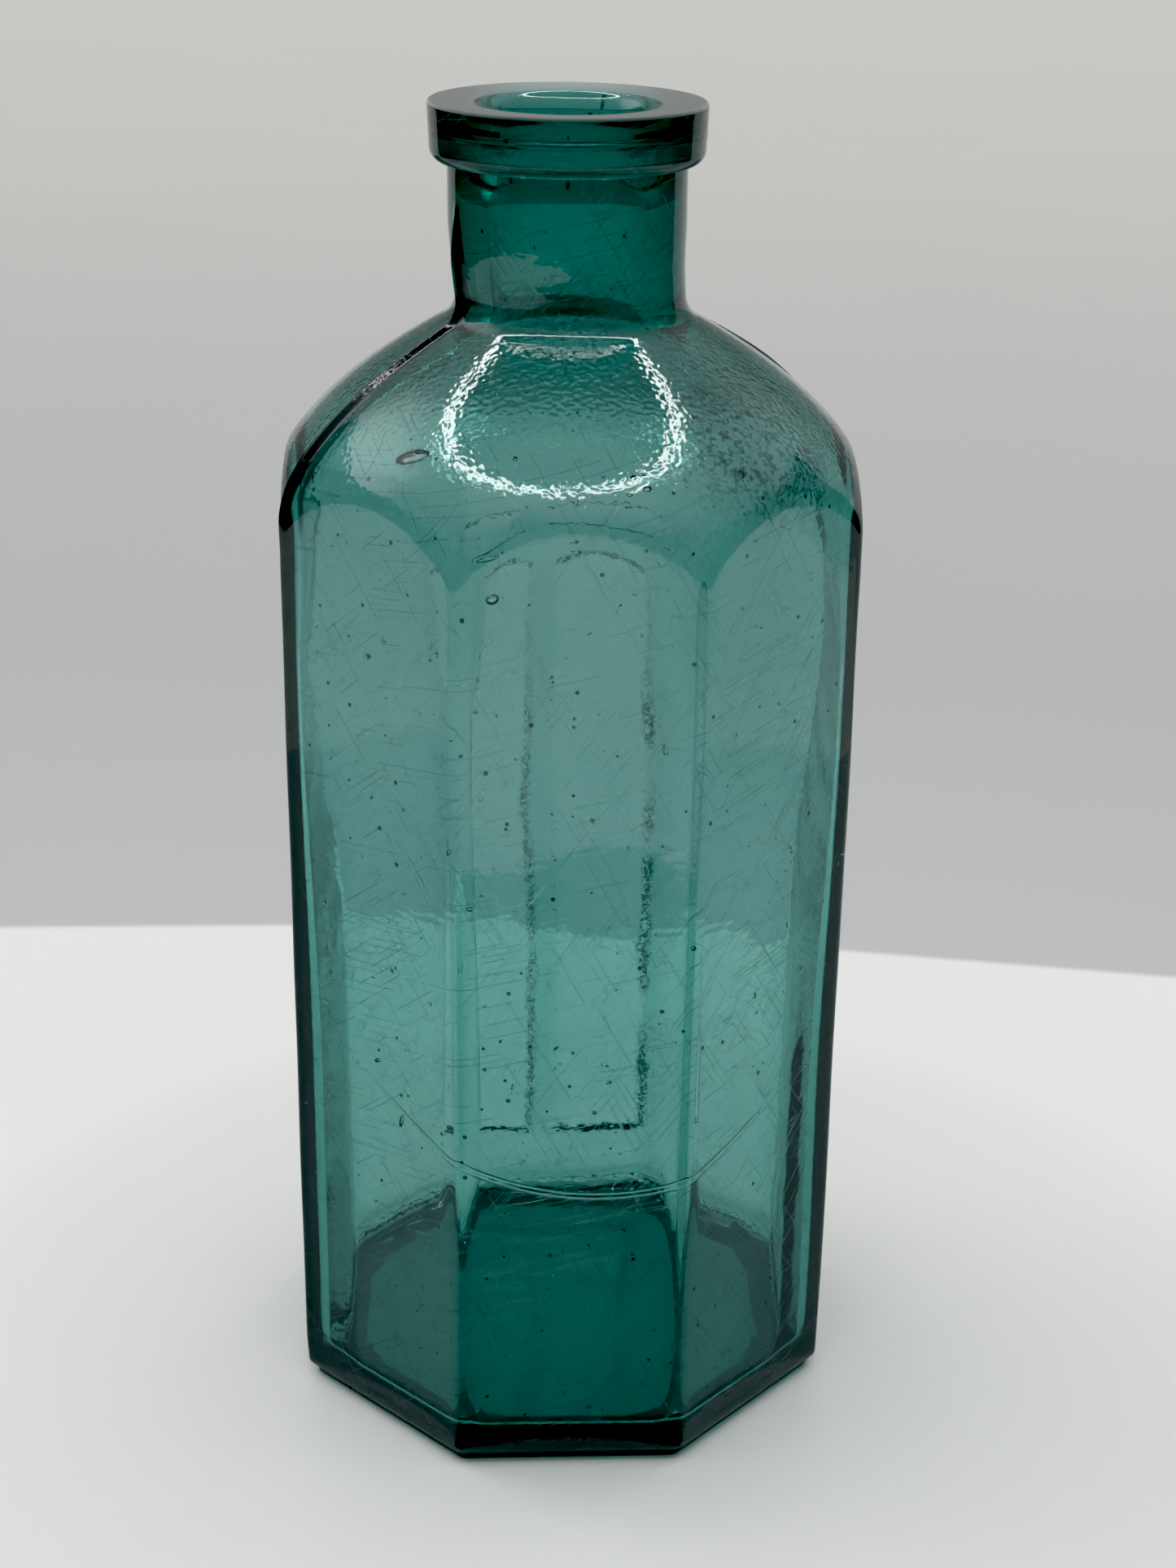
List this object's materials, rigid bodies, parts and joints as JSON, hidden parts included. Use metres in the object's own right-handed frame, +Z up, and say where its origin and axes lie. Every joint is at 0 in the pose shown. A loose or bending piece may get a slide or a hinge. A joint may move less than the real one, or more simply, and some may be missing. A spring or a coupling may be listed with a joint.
{
  "type": "medicine bottle",
  "caption": "Tall octagonal blown-glass medicine bottle in clear blue-green glass, with rounded shoulders, a round neck, a flat collar lip and a sunken double-arched label panel on its back.",
  "frame": {"origin": "centre of the base, on the surface the bottle stands on", "axes": "+Z up through the neck, -Y out of the plain front panel, +Y out of the back panel with the sunken label panel"},
  "size_m": [0.063, 0.063, 0.152],
  "materials": {
    "aqua_glass": "smooth blown glass with a light surface haze"
  },
  "bodies": {
    "root": {"blown_body": "aqua_glass", "applied_lip": "aqua_glass"}
  },
  "joints": []
}
